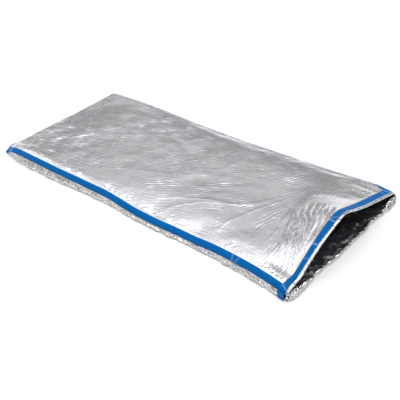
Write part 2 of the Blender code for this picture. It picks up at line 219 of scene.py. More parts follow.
def smooth(t):
    t = np.clip(t, 0, 1)
    return t * t * (3 - 2 * t)


def random_field(shape, step, wave, length, angle, seed):
    """A random field of unit spread: crests a wave apart, a length long, turned by an angle."""
    noise = np.random.default_rng(seed).standard_normal(shape)
    ku = np.fft.fftfreq(shape[0], step)[:, None]
    kv = np.fft.fftfreq(shape[1], step)[None, :]
    turn = math.radians(angle)
    along = ku * math.cos(turn) + kv * math.sin(turn)
    cross = -ku * math.sin(turn) + kv * math.cos(turn)
    band = np.exp(-(((np.abs(cross) - 1 / wave) * wave / 0.45) ** 2))
    band *= np.exp(-((along * length) ** 2))
    field = np.fft.ifft2(np.fft.fft2(noise) * band).real
    return field / field.std()


def soft_field(shape, step, size, seed):
    """A soft random field of unit spread, with swells of about a size."""
    noise = np.random.default_rng(seed).standard_normal(shape)
    ku = np.fft.fftfreq(shape[0], step)[:, None]
    kv = np.fft.fftfreq(shape[1], step)[None, :]
    field = np.fft.ifft2(np.fft.fft2(noise) * np.exp(-((ku ** 2 + kv ** 2) * size ** 2))).real
    return (field - field.mean()) / field.std()


def creased(field, sharp=0.25):
    """Turns a smooth field into straight flanks with sharp crests."""
    return 0.8 - np.sqrt(field ** 2 + sharp ** 2)


# ---- the outer surface ----

def smooth_rows(control, count):
    """Points along a smooth line through control points, for every column at once."""
    k = control.shape[0]
    lengths = np.linalg.norm(np.diff(control, axis=0), axis=2).mean(axis=1)
    marks = np.concatenate(([0], np.cumsum(lengths)))
    s = np.linspace(0, marks[-1], count)
    i = np.clip(np.searchsorted(marks, s, side="right") - 1, 0, k - 2)
    t = ((s - marks[i]) / lengths[i])[:, None, None]
    slope = np.gradient(control, marks, axis=0)
    gap = lengths[i][:, None, None]
    return hermite(t, control[i], control[i + 1], slope[i] * gap, slope[i + 1] * gap), s


def flat_height(x, y):
    """The crown over the bag's middle, between its rolled edges."""
    along = x - FOOT_X
    crown = curve(CROWN_HEIGHT, along)
    foot = curve(FOOT_HEIGHT, y + HALF_WIDTH)
    return foot + (crown - foot) * smooth(along / 0.22) ** 0.7


def tent_height(x, y, flat):
    """The raised lip over the last stretch, with a ridge that drifts to the far side."""
    behind = MOUTH_X - x
    t = 1 - behind / curve(TENT_BASE, y + HALF_WIDTH)
    softness = 0.004 + 0.05 * smooth((y - 0.02) / 0.15)
    t = np.clip(0.5 * (t + np.sqrt(t ** 2 + softness)) / (0.5 * (1 + np.sqrt(1 + softness))), 0, 1)
    rise = 0.5 * (t + np.sin(math.pi / 2 * t))
    outline = curve(LIP_OUTLINE, y + HALF_WIDTH - RIDGE_DRIFT * behind)
    return flat + rise * np.maximum(outline - flat, -0.03)


def edge_points(x, side):
    """The rolled edge's points in plan and height, from the tape's lower edge inward."""
    along = x - FOOT_X
    if side < 0:
        y = -HALF_WIDTH + curve(NEAR_INSET, along)
        z = curve(NEAR_HEIGHT, along)
    else:
        y = HALF_WIDTH - 0.002 + 0 * x
        z = curve(FAR_HEIGHT, along)
    half = TAPE_DROP / 2
    rows = [(0.0, -half - 0.006), (-0.001, -half), (TAPE_RUN, half), (TAPE_RUN + ROLL_RUN, half + ROLL_RISE)]
    return [np.stack((y - side * inward, z + lift), axis=-1) for inward, lift in rows]


def outer_surface(count_x, count_q):
    """The upper film from one tape's lower edge to the other's, as a grid of points."""
    band = np.linspace(0, FOOT_BAND, 7)[:-1]
    rest = np.linspace(FOOT_BAND, LENGTH, count_x - 6)
    x = FOOT_X + np.concatenate((band, rest))
    near, far = edge_points(x, -1), edge_points(x, 1)
    rows = near[:]
    start, end = near[-1][:, 0], far[-1][:, 0]
    for share in (0.05, 0.12, 0.22, 0.34, 0.46, 0.58, 0.70, 0.80, 0.89, 0.955):
        y = start + (end - start) * share
        flat = flat_height(x, y)
        edge = near[-1][:, 1] + (far[-1][:, 1] - near[-1][:, 1]) * share
        bulge = 1 - (1 - 2 * share) ** 6
        z = edge + (flat - edge) * bulge
        z = tent_height(x, y, z)
        rows.append(np.stack((y, z), axis=-1))
    rows += far[::-1]
    points, arc = smooth_rows(np.array(rows), count_q)
    grid = np.zeros((count_x, count_q, 3))
    grid[:, :, 0] = x[:, None]
    grid[:, :, 1:] = points.transpose(1, 0, 2)
    foot_band = 1 - np.clip((x - FOOT_X) / FOOT_BAND, 0, 1)
    grid[:, :, 2] *= (1 - 0.42 * foot_band)[:, None]
    grid[:, :, 2] = np.maximum(grid[:, :, 2], 0.0025)
    return grid, arc


def normals(grid):
    du, dv = np.gradient(grid, axis=0), np.gradient(grid, axis=1)
    n = np.cross(du, dv)
    return n / np.linalg.norm(n, axis=2, keepdims=True)


def edge_fade(distance, width):
    """0 on an edge and 1 once a width inside it."""
    return smooth(distance / width)


# which way the film's wrinkles run: distance from the foot end, y, angle to the bag's length in degrees
FLOW = ((0.19, -0.35, 163), (0.28, -0.29, 176), (0.15, -0.26, 46), (0.25, -0.15, 53), (0.20, 0.07, 123),
        (0.17, 0.15, 123), (0.38, 0.04, 21), (0.27, 0.32, 172), (0.47, -0.21, 1), (0.71, -0.20, 16),
        (0.71, -0.04, 12), (0.90, -0.10, 54), (0.67, 0.24, 46), (0.74, 0.39, 105), (0.90, 0.10, 55),
        (1.04, -0.29, 36), (1.25, -0.18, 34), (1.37, -0.10, 47), (1.45, 0.03, 67), (1.43, -0.22, 92),
        (1.47, -0.09, 74), (1.17, 0.02, 36), (1.16, 0.28, 164), (1.32, 0.20, 55), (1.63, -0.26, 110),
        (1.70, -0.22, 120), (1.28, -0.30, 4), (1.48, -0.32, 176), (0.85, -0.32, 0), (1.65, 0.25, 95))
FLOW_REACH = 0.10
# long creases: height, half width, and the (distance from the foot end, y) points they run through
FOLDS = (
    (0.0016, 0.010, ((0.97, -0.33), (1.12, -0.224), (1.26, -0.154), (1.37, -0.108), (1.45, -0.014),
                     (1.51, 0.147))),
    (0.0013, 0.008, ((1.10, -0.39), (1.16, -0.266), (1.245, -0.182), (1.35, -0.125), (1.44, -0.056),
                     (1.52, 0.125))),
    (0.0016, 0.009, ((1.425, -0.331), (1.411, -0.242), (1.44, -0.145), (1.485, -0.018), (1.54, 0.103))),
    (0.0009, 0.011, ((0.99, 0.003), (1.117, 0.056), (1.145, 0.172), (1.163, 0.307), (1.186, 0.386))),
    (0.0022, 0.009, ((1.621, -0.288), (1.611, -0.188), (1.59, -0.091), (1.567, 0.06))),
    (-0.0018, 0.008, ((1.66, -0.30), (1.655, -0.20), (1.64, -0.11), (1.62, 0.0))),
    (0.0009, 0.010, ((0.62, -0.30), (0.74, -0.20), (0.90, -0.135), (1.05, -0.05), (1.20, 0.10))),
    (0.0010, 0.010, ((0.03, -0.37), (0.16, -0.33), (0.30, -0.30), (0.48, -0.28))),
    (0.0009, 0.010, ((0.03, -0.36), (0.13, -0.26), (0.24, -0.15), (0.36, -0.06))),
    (0.0007, 0.012, ((0.05, -0.10), (0.15, -0.06), (0.30, 0.00), (0.50, 0.03))),
)
SWELLS = ((0.0010, 0.15, 11), (0.00022, 0.07, 12))                      # height, size, seed
FLOWING = ((0.00044, 0.036, 0.26, 300), (0.00032, 0.020, 0.15, 320))    # height, wave, length, seed
# height, wave, length, angle, seed of the foot third's short ribs and the tent's creases
RIBS = (0.00055, 0.022, 0.12, 120, 390)
FLANK_CREASES = ((0.0024, 0.050, 0.28, 110, 340), (0.0010, 0.030, 0.18, 96, 360),
                 (0.0009, 0.034, 0.12, 132, 380))
CRISP = 0.06                # how sharp those wrinkles' crests are
PUCKERS = (0.22, 0.31, 0.52, 0.60, 0.80, 0.92, 1.08, 1.20, 1.52, 1.70)  # crumpled spots by the near tape
PUCKER_HEIGHT = 0.0024


def followed(shape, wave, length, seed, weights):
    """Random crests that follow the film's flow: one field for each direction, mixed by weight."""
    total = np.zeros(shape)
    for k, weight in enumerate(weights):
        total += weight * random_field(shape, STEP, wave, length, k * 180 / len(weights), seed + k)
    return total


def flow_weights(along, y, count=9):
    """How much each of a count of directions takes part, at every point."""
    turn_x, turn_y = np.zeros(along.shape), np.zeros(along.shape)
    for place, across, angle in FLOW:
        near = np.exp(-((along - place) ** 2 + (y - across) ** 2) / FLOW_REACH ** 2) + 1e-6
        turn_x += near * math.cos(2 * math.radians(angle))
        turn_y += near * math.sin(2 * math.radians(angle))
    angle = np.arctan2(turn_y, turn_x) / 2
    parts = [np.maximum(np.cos(angle - k * math.pi / count) ** 2 - 0.7, 0) ** 2 for k in range(count)]
    whole = np.sqrt(sum(part ** 2 for part in parts))
    return [part / whole for part in parts]


def fold_line(along, y, points, half_width):
    """A crest along a line through points, which dies out at both its ends."""
    stations = np.array(points)
    ticks = np.linspace(0, len(points) - 1, 40)
    line = np.stack([curve(list(enumerate(stations[:, k])), ticks) for k in range(2)], axis=-1)
    best, share = np.full(along.shape, 9.0), np.zeros(along.shape)
    for k in range(len(line) - 1):
        start, step = line[k], line[k + 1] - line[k]
        t = np.clip(((along - start[0]) * step[0] + (y - start[1]) * step[1]) / (step @ step), 0, 1)
        gap = np.hypot(along - start[0] - t * step[0], y - start[1] - t * step[1])
        closer = gap < best
        best, share = np.where(closer, gap, best), np.where(closer, (k + t) / (len(line) - 1), share)
    profile = np.exp(-best / half_width)
    return profile * smooth(share / 0.25) * smooth((1 - share) / 0.25)


def film_wrinkles(grid, arc):
    """Height of the wrinkles on the outer film, in metres along its normal."""
    shape = grid.shape[:2]
    x, y = grid[:, :, 0], grid[:, :, 1]
    along = x - FOOT_X
    band = math.hypot(TAPE_DROP, TAPE_RUN) + 0.008
    from_near = arc[None, :] - band
    from_far = arc[-1] - arc[None, :] - band
    behind = MOUTH_X - LIP_TAPE - HEM - x
    ahead = along - FOOT_BAND
    inside = 1.0
    for distance in (from_near, from_far, behind, ahead):
        inside = inside * edge_fade(distance, 0.02)
    weights = flow_weights(along, y)
    patches = 0.35 + smooth(0.5 + 0.6 * soft_field(shape, STEP, 0.09, 61))
    patches = patches * (1.7 - 0.8 * smooth((along - 0.45) / 0.35))
    height = sum(rise * soft_field(shape, STEP, size, seed) for rise, size, seed in SWELLS)
    for rise, wave, length, seed in FLOWING:
        height = height + rise * patches * creased(followed(shape, wave, length, seed, weights), CRISP)
    ribs = np.exp(-(((along - 0.19) / 0.10) ** 2) - ((y - 0.08) / 0.13) ** 2)
    height = height + RIBS[0] * ribs * creased(random_field(shape, STEP, *RIBS[1:]), CRISP)
    for rise, half_width, points in FOLDS:
        height = height + rise * fold_line(along, y, points, half_width)
    flank = smooth((x - 0.60 - 0.25 * (0.05 - y)) / 0.10) * smooth((0.06 - y) / 0.10)
    corner = smooth((x - 0.74) / 0.08) * smooth((y - 0.22) / 0.08)
    rough = sum(rise * creased(random_field(shape, STEP, *crest), 0.05) for rise, *crest in FLANK_CREASES)
    height = height + rough * (flank + 0.6 * corner)
    pucker = creased(random_field(shape, STEP, 0.024, 0.035, 70, 31), 0.12) + 0.7 * creased(
        random_field(shape, STEP, 0.017, 0.022, 115, 32), 0.12)
    clumps = 0.25 + sum(np.exp(-(((along - place) / 0.035) ** 2)) for place in PUCKERS)
    at_edge = np.exp(-np.maximum(from_near, 0) / 0.026) + 0.4 * np.exp(-np.maximum(from_far, 0) / 0.02)
    at_edge = at_edge + 0.3 * np.exp(-np.maximum(ahead, 0) / 0.02)
    gathered = PUCKER_HEIGHT * pucker * clumps * at_edge
    return inside * height + edge_fade(from_near + 0.004, 0.012) * inside ** 0.3 * gathered


# ---- meshes ----

def grid_mesh(name, points, uv=None, closed=False):
    """A mesh from a grid of points; uv is the flat sheet's own coordinates in metres."""
    rows, columns = points.shape[:2]
    mesh = bpy.data.meshes.new(name)
    index = np.arange(rows * columns).reshape(rows, columns)
    if closed:
        index = np.concatenate((index, index[:, :1]), axis=1)
    faces = np.stack((index[:-1, :-1], index[1:, :-1], index[1:, 1:], index[:-1, 1:]), axis=-1).reshape(-1, 4)
    mesh.vertices.add(rows * columns)
    mesh.vertices.foreach_set("co", points.reshape(-1).astype(np.float32))
    mesh.loops.add(faces.size)
    mesh.loops.foreach_set("vertex_index", faces.reshape(-1).astype(np.int32))
    mesh.polygons.add(len(faces))
    mesh.polygons.foreach_set("loop_start", np.arange(0, faces.size, 4, dtype=np.int32))
    mesh.update(calc_edges=True)
    mesh.validate()
    mesh.polygons.foreach_set("use_smooth", np.ones(len(faces), dtype=bool))
    if uv is None:
        u = np.concatenate(([0], np.cumsum(np.linalg.norm(np.diff(points, axis=0), axis=2).mean(axis=1))))
        v = np.concatenate(([0], np.cumsum(np.linalg.norm(np.diff(points, axis=1), axis=2).mean(axis=0))))
        uv = np.stack(np.meshgrid(u, v, indexing="ij"), axis=-1)
    flat = mesh.uv_layers.new(name="flat")
    flat.data.foreach_set("uv", uv.reshape(-1, 2)[faces.reshape(-1)].reshape(-1).astype(np.float32))
    obj = bpy.data.objects.new(name, mesh)
    bpy.context.scene.collection.objects.link(obj)
    return obj


def thicken(obj, thickness):
    """Gives a sheet its thickness, on the side away from its normals, and applies it."""
    shell = obj.modifiers.new("thickness", "SOLIDIFY")
    shell.thickness = thickness
    shell.offset = -1.0
    done = bpy.data.meshes.new_from_object(obj.evaluated_get(bpy.context.evaluated_depsgraph_get()))
    obj.modifiers.clear()
    old = obj.data
    obj.data = done
    done.name = obj.name
    bpy.data.meshes.remove(old)


# ---- materials ----

def new_material(name, color, roughness, metallic=0.0):
    material = bpy.data.materials.new(name)
    material.use_nodes = True
    shader = material.node_tree.nodes["Principled BSDF"]
    shader.inputs["Base Color"].default_value = (*color, 1)
    shader.inputs["Roughness"].default_value = roughness
    shader.inputs["Metallic"].default_value = metallic
    return material, shader


def noise_on(tree, vector, scale, detail, rough=0.5):
    """A noise texture on some coordinates; returns its value socket."""
    texture = tree.nodes.new("ShaderNodeTexNoise")
    for name, value in (("Scale", scale), ("Detail", detail), ("Roughness", rough)):
        texture.inputs[name].default_value = value
    tree.links.new(vector, texture.inputs["Vector"])
    return texture.outputs["Fac"]


def noise(tree, scale, detail=3.0, rough=0.5, stretch=(1, 1, 1), turn=0.0):
    """The same on a sheet's own flat coordinates, stretched and turned."""
    uv = tree.nodes.new("ShaderNodeUVMap")
    uv.uv_map = "flat"
    mapping = tree.nodes.new("ShaderNodeMapping")
    mapping.inputs["Scale"].default_value = stretch
    mapping.inputs["Rotation"].default_value = (0, 0, math.radians(turn))
    tree.links.new(uv.outputs[0], mapping.inputs[0])
    return noise_on(tree, mapping.outputs[0], scale, detail, rough)


def math_node(tree, operation, a, b=None):
    node = tree.nodes.new("ShaderNodeMath")
    node.operation = operation
    for socket, value in zip(node.inputs, (a, b)):
        if value is None:
            continue
        if isinstance(value, (int, float)):
            socket.default_value = value
        else:
            tree.links.new(value, socket)
    return node.outputs[0]


def ridged(tree, value):
    """Folds a noise value about its middle, which makes sharp crests."""
    return math_node(tree, "ABSOLUTE", math_node(tree, "SUBTRACT", value, 0.5))


def bump(tree, shader, height, distance, strength=1.0):
    node = tree.nodes.new("ShaderNodeBump")
    node.inputs["Distance"].default_value = distance
    node.inputs["Strength"].default_value = strength
    tree.links.new(height, node.inputs["Height"])
    tree.links.new(node.outputs[0], shader.inputs["Normal"])


def spread(tree, value, low, high, start=0.0, stop=1.0, kind="LINEAR"):
    """Turns a value that runs from start to stop into one that runs from low to high."""
    node = tree.nodes.new("ShaderNodeMapRange")
    node.interpolation_type = kind
    for name, setting in (("From Min", start), ("From Max", stop), ("To Min", low), ("To Max", high)):
        node.inputs[name].default_value = setting
    tree.links.new(value, node.inputs["Value"])
    return node.outputs[0]


def mix_color(tree, share, first, second):
    node = tree.nodes.new("ShaderNodeMix")
    node.data_type = "RGBA"
    tree.links.new(share, node.inputs["Factor"])
    for socket, value in ((node.inputs[6], first), (node.inputs[7], second)):
        if isinstance(value, tuple):
            socket.default_value = (*value, 1)
        else:
            tree.links.new(value, socket)
    return node.outputs[2]


def silver_material(name, crinkle=1.0, dark=(0.80, 0.80, 0.835), pale=(0.90, 0.90, 0.93), mottle=5):
    material, shader = new_material(name, pale, 0.24, 1.0)
    tree = material.node_tree
    streaks = ridged(tree, noise(tree, 72, 4, 0.6, (0.15, 1.0, 1.0), -40))
    crossing = ridged(tree, noise(tree, 66, 4, 0.6, (0.15, 1.0, 1.0), -12))
    facets = ridged(tree, noise(tree, 30, 2, 0.5))
    height = math_node(tree, "ADD", streaks, math_node(tree, "ADD", crossing, facets))
    bump(tree, shader, height, 0.0010 * crinkle, 0.8)
    tree.links.new(spread(tree, noise(tree, 9, 4, 0.6), 0.10, 0.24), shader.inputs["Roughness"])
    tint = mix_color(tree, noise(tree, mottle, 3), dark, pale)
    tree.links.new(tint, shader.inputs["Base Color"])
    return material


def tape_material():
    material, shader = new_material("blue_tape", (0.002, 0.105, 0.42), 0.36)
    shader.inputs["Specular IOR Level"].default_value = 0.05
    tree = material.node_tree
    # where the tape is creased (its "creased" point attribute) the colour is mixed towards a pale blue-white
    crease_share = tree.nodes.new("ShaderNodeAttribute")
    crease_share.attribute_name = "creased"
    tone = mix_color(tree, noise(tree, 30, 3), (0.0, 0.098, 0.33), (0.001, 0.128, 0.41))
    lightened_at_creases = mix_color(tree, crease_share.outputs["Fac"], tone, (0.30, 0.45, 0.70))
    tree.links.new(lightened_at_creases, shader.inputs["Base Color"])
    tree.links.new(spread(tree, noise(tree, 24, 3), 0.40, 0.55), shader.inputs["Roughness"])
    bump(tree, shader, ridged(tree, noise(tree, 60, 3, 0.5, (1, 0.3, 1))), 0.0006, 0.6)
    return material


def liner_material():
    material, shader = new_material("dark_liner", (0.042, 0.043, 0.049), 0.30)
    tree = material.node_tree
    shader.inputs["Coat Weight"].default_value = 0.5
    shader.inputs["Coat Roughness"].default_value = 0.12
    shader.inputs["Specular IOR Level"].default_value = 0.6
    creases = ridged(tree, noise(tree, 9, 2, 0.45, (0.4, 1, 1), -30))
    bump(tree, shader, creases, 0.0040, 0.9)
    tree.links.new(spread(tree, noise(tree, 14, 3), 0.14, 0.26), shader.inputs["Roughness"])
    return material


def wadding_material():
    material, shader = new_material("wadding", (0.80, 0.80, 0.78), 0.95)
    tree = material.node_tree
    tree.links.new(mix_color(tree, noise(tree, 120, 6, 0.7), (0.68, 0.68, 0.66), (0.86, 0.86, 0.84)),
                   shader.inputs["Base Color"])
    shader.inputs["Sheen Weight"].default_value = 0.4
    bump(tree, shader, noise(tree, 240, 6, 0.75), 0.0015)
    return material


def heater_material():
    material, shader = new_material("heating_film", (0.02, 0.02, 0.022), 0.5)
    tree = material.node_tree
    tree.links.new(mix_color(tree, noise(tree, 40, 4), (0.014, 0.014, 0.016), (0.035, 0.035, 0.038)),
                   shader.inputs["Base Color"])
    tree.links.new(spread(tree, noise(tree, 18, 3), 0.35, 0.6), shader.inputs["Roughness"])
    bump(tree, shader, noise(tree, 150, 4), 0.0004)
    return material


def part_material(name, color, roughness, metallic, scale, depth):
    """A moulded or drawn part's material, on object coordinates."""
    material, shader = new_material(name, color, roughness, metallic)
    tree = material.node_tree
    value = noise_on(tree, tree.nodes.new("ShaderNodeTexCoord").outputs["Object"], scale, 4)
    darker = tuple(0.75 * c for c in color)
    tree.links.new(mix_color(tree, value, darker, color), shader.inputs["Base Color"])
    tree.links.new(spread(tree, value, roughness * 0.8, roughness * 1.2), shader.inputs["Roughness"])
    bump(tree, shader, value, depth)
    return material


def put(obj, material):
    obj.data.materials.clear()
    obj.data.materials.append(material)
    return obj


# ---- the pieces ----

def sections(x):
    """The bag's three stretches, each with its own pieces: where it starts and stops among stations x."""
    first, second = np.searchsorted(x, (FOLD_X + 0.012, BEND_X - LIP_BEND))
    return (("foot", slice(0, first + 1)), ("body", slice(first, second + 1)), ("lip", slice(second, len(x))))


def bend(piece, section):
    """Bakes the foot, lip and gusset pieces in place where they stand, and attaches the body's pieces to the body
    section.
    """
    if section == "foot":
        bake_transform(piece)
    elif section == "lip":
        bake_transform(piece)
    elif section == "gusset":
        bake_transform(piece)
    else:
        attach(piece, "body_section")


def layer(name, points, thickness, material, nodes, section, uv=None):
    """One layer of a wall: its mesh, thickness and material; bend() then attaches it to the body section or bakes
    it in place.
    """
    piece = grid_mesh(name, points, uv)
    thicken(piece, thickness)
    put(piece, MATERIALS[material])
    if nodes:
        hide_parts(*nodes)
    bend(piece, section)
    return piece


def sheet_piece(name, points, material, nodes, section, thickness=FILM, uv=None):
    """A layer that is a sheet, of the film's thickness unless another is given."""
    piece = layer(name, points, thickness, material, nodes, section, uv)
    return piece


def pad(name, points, thickness, nodes, section):
    """A layer of wadding."""
    layer(name, points, thickness, "wadding", nodes, section)


def bus_strip(name, points, nodes, section):
    """A copper strip that feeds the heating film."""
    layer(name, points, 0.0003, "bus_copper", nodes, section)


def upper_sheets(base, out, arc):
    """The upper film in three stretches, and below it the wadding, heating film, bus strips and liner."""
    height = film_wrinkles(base, arc)
    film = base + out * height[:, :, None]
    shade = normals(film)
    under = base + out * np.minimum(height, 0)[:, :, None]
    x = base[:, 0, 0]
    uv = np.stack(np.meshgrid(x - FOOT_X, arc, indexing="ij"), axis=-1)
    for section, span in sections(x):
        piece = sheet_piece(f"top_film_{section}", film[span], "silver_film",
                            [f"upper_film_{section}"], section, uv=uv[span])
        both = np.concatenate((shade[span].reshape(-1, 3), -shade[span].reshape(-1, 3)))
        piece.data.normals_split_custom_set_from_vertices(both)
        first = span.start + (EDGE_CELLS if section == "foot" else 0)
        last = span.stop - (EDGE_CELLS if section == "lip" else 0)
        rows, inner = slice(first, last, 2), slice(EDGE_CELLS, len(arc) - EDGE_CELLS, 2)
        for kind, depth, thickness, slot in LAYERS:
            points = (under - out * depth)[rows, inner]
            nodes = [f"upper_{kind}_{section}"]
            if kind == "wadding":
                pad(f"top_wadding_{section}", points, thickness, nodes, section)
            else:
                sheet_piece(f"top_{kind}_{section}", points, slot, nodes, section, thickness,
                            uv=uv[rows, inner])
        for side in ("near", "far"):
            low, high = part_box(f"upper_bus_{side}_body")
            column = int(np.argmin(abs(base[len(base) // 2, :, 1] - (low[1] + high[1]) / 2)))
            strip = slice(column - 1, column + 3)
            bus_strip(f"top_bus_{side}_{section}", (under - out * BUS_DEPTH)[rows, strip],
                      [f"upper_bus_{side}_{section}"], section)


# ---- tapes ----

def sample(grid, rows, columns):
    """Values of a grid at fractional rows and columns."""
    r0 = np.clip(rows.astype(int), 0, grid.shape[0] - 2)
    c0 = np.clip(columns.astype(int), 0, grid.shape[1] - 2)
    fr, fc = rows - r0, columns - c0
    if grid.ndim == 3:
        fr, fc = fr[..., None], fc[..., None]
    low = grid[r0, c0] * (1 - fc) + grid[r0, c0 + 1] * fc
    high = grid[r0 + 1, c0] * (1 - fc) + grid[r0 + 1, c0 + 1] * fc
    return low * (1 - fr) + high * fr


def tape_piece(name, points, creases, uv=None):
    """A length of tape from a grid; creases says how creased and whitened each point is."""
    piece = grid_mesh(name, points, uv)
    attribute = piece.data.attributes.new("creased", "FLOAT", "POINT")
    attribute.data.foreach_set("value", creases.reshape(-1).astype(np.float32))
    thicken(piece, TAPE)
    return put(piece, MATERIALS["blue_tape"])


def tape_strip(name, points, out, uv, lift=TAPE_LIFT, creases=(), seed=1):
    """A strip of tape over the outer surface, with cross creases at some shares of its length."""
    count, wide = points.shape[:2]
    length = np.linalg.norm(np.diff(points[:, wide // 2], axis=0), axis=1).sum()
    share = np.linspace(0, 1, count)[:, None]
    side = np.linspace(-1, 1, wide)[None, :]
    pitch = length / count
    shape = (count, 64)
    ripple = 0.00022 * soft_field(shape, pitch, 0.012, seed)[:, :1]
    ripple = ripple + 0.00008 * soft_field(shape, pitch, 0.006, seed + 1)[:, :wide]
    marks = np.zeros((count, wide))
    for place, strength, slant in creases:
        gap = (share - place) * length + slant * side * 0.005
        marks = np.maximum(marks, strength * np.exp(-((gap / 0.0028) ** 2)))
    edge = 1 - 0.35 * np.abs(side) ** 6
    surface = points + out * ((lift + ripple + 0.0010 * marks) * edge)[:, :, None]
    if (normals(surface) * out).sum() < 0:
        surface, uv, marks = surface[:, ::-1], uv[:, ::-1], marks[:, ::-1]
    return tape_piece(name, surface, np.clip(marks * 1.2, 0, 1), uv)


def long_tapes(base, out, arc):
    """The tapes over the rolled long edges, in the same stretches as the film."""
    x = base[:, 0, 0]
    pitch = arc[1] - arc[0]
    across = np.linspace(0.006, 0.007 + math.hypot(TAPE_DROP, TAPE_RUN), 9)[None, :] / pitch
    lip_end = len(x) - int((LIP_TAPE + HEM) / STEP) + 3
    for side, seed in (("near", 201), ("far", 211)):
        for section, span in sections(x):
            first, last = max(span.start, 2), min(span.stop, lip_end)
            rows = np.arange(first, last, dtype=float)[:, None] + 0 * across
            drift = FAR_TAPE_DRIFT * smooth((x[first:last] - 0.76) / 0.10)[:, None] / pitch
            columns = across + 0 * rows if side == "near" else (len(arc) - 1 - 0.85 * across - drift)[:, ::-1]
            uv = np.stack((sample(base[:, :, 0], rows, columns) - FOOT_X, columns * pitch), axis=-1)
            piece = tape_strip(f"{side}_edge_tape_{section}", sample(base, rows, columns),
                               sample(out, rows, columns), uv, creases=EDGE_CREASES[section], seed=seed)
            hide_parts(f"{side}_tape_{section}")
            bend(piece, section)


def foot_tape(base, out, arc):
    """The tape over the foot end's rolled edge, which crosses the near tape's end at the corner."""
    columns = np.arange(0.0, len(arc))[:, None] + np.zeros((1, 9))
    reach = 0.8 * FOOT_BAND + 0.022 * smooth(1 - (base[0, :, 1] + HALF_WIDTH) / 0.085)
    x = FOOT_X + reach[:, None] * np.linspace(0, 1, 9)[None, :]
    rows = np.interp(x, base[:, 0, 0], np.arange(len(base)))
    uv = np.stack((columns * (arc[1] - arc[0]), x - FOOT_X), axis=-1)
    piece = tape_strip("foot_end_tape", sample(base, rows, columns), sample(out, rows, columns), uv,
                       2.4 * TAPE_LIFT, FOOT_CREASES, 221)
    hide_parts("foot_tape")
    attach(piece, "foot_section")


def lip_tape(base, out, arc):
    """The tape along the raised lip, a hem's width behind its edge."""
    columns = np.arange(1.0, len(arc) - 1)[:, None] + np.zeros((1, 10))
    last = len(base) - 1 - HEM / STEP
    width = curve(LIP_TAPE_WIDTH, base[-1, 1:-1, 1] + HALF_WIDTH)[:, None]
    rows = last - width / STEP * np.linspace(1, 0, 10)[None, :] + 0 * columns
    uv = np.stack((columns * (arc[1] - arc[0]), rows * STEP), axis=-1)
    piece = tape_strip("lip_edge_tape", sample(base, rows, columns), sample(out, rows, columns), uv,
                       2.0 * TAPE_LIFT, LIP_CREASES, 231)
    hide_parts("lip_tape")
    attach(piece, "lip_section")


def lip_hem(base, out, arc):
    """The film's folded edge: a slightly padded silver roll round the lip, and a turn-in under it."""
    columns = np.arange(2.0, len(arc) - 2)
    last = len(base) - 1
    start = sample(base, 0 * columns + last - HEM / STEP, columns)
    end = base[last, 2:-2]
    up = out[last, 2:-2]
    forward = end - start
    forward /= np.linalg.norm(forward, axis=1, keepdims=True)
    shape = (len(columns), 64)
    pinch = (soft_field(shape, STEP, 0.014, 241) + 0.6 * soft_field(shape, STEP, 0.007, 242))[:, :1]
    profile = ((0.0, 0.0006), (0.0035, 0.0024), (0.0075, 0.0030), (0.0115, 0.0024), (0.0140, 0.0004),
               (0.0145, -0.0022), (0.0120, -0.0042), (0.006, -0.0056), (-0.008, -0.0070))
    rows = [start + forward * (run + 0.0007 * pinch * (run > 0.005)) + up * (rise + 0.0004 * pinch)
            for run, rise in profile]
    piece = grid_mesh("lip_edge_roll", np.array(rows).transpose(1, 0, 2)[:, ::-1])
    thicken(piece, FILM)
    put(piece, MATERIALS["hem_film"])
    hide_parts("lip_hem")
    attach(piece, "lip_section")


def corner_wraps(base):
    """The lip tape's tails, wrapped down the outside of the two mouth corners."""
    last = len(base) - 1 - HEM / STEP
    for side, column, outward in (("near", 1, -1), ("far", -2, 1)):
        rows = last - LIP_TAPE / STEP * np.linspace(1, 0, 9)
        top = np.stack([np.interp(rows, np.arange(len(base)), base[:, column, k]) for k in range(3)], axis=-1)
        t = np.linspace(0, 1, 18)[:, None]
        strip = np.zeros((18, 9, 3))
        strip[:, :, 0] = top[None, :, 0] + 0.006 * t
        stand_off = 0.0115 + 0.0008 * np.sin(9 * t) - 0.010 * np.exp(-t / 0.06)
        strip[:, :, 1] = top[None, :, 1] + outward * stand_off
        strip[:, :, 2] = (top[None, :, 2] + 0.008) * (1 - t) + 0.002 * t
        if outward > 0:
            strip = strip[:, ::-1]
        marks = 0.6 * np.exp(-((t - 0.35) / 0.05) ** 2) + 0 * strip[:, :, 0]
        piece = tape_piece(f"{side}_corner_wrap", strip, marks)
        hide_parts(f"{side}_corner_tail")
        bend(piece, "gusset")


# ---- standing films ----

def crumple(shape, step, size, height, seed):
    """Strong, sharp crumples: facets of about a size, as high as a height."""
    crests = ((1.0, size, size * 1.5, 70), (0.7, size * 0.7, size, 20), (0.5, size * 0.8, size, 125))
    return height * sum(part * creased(random_field(shape, step, *crest, seed + k), 0.12)
                        for k, (part, *crest) in enumerate(crests))


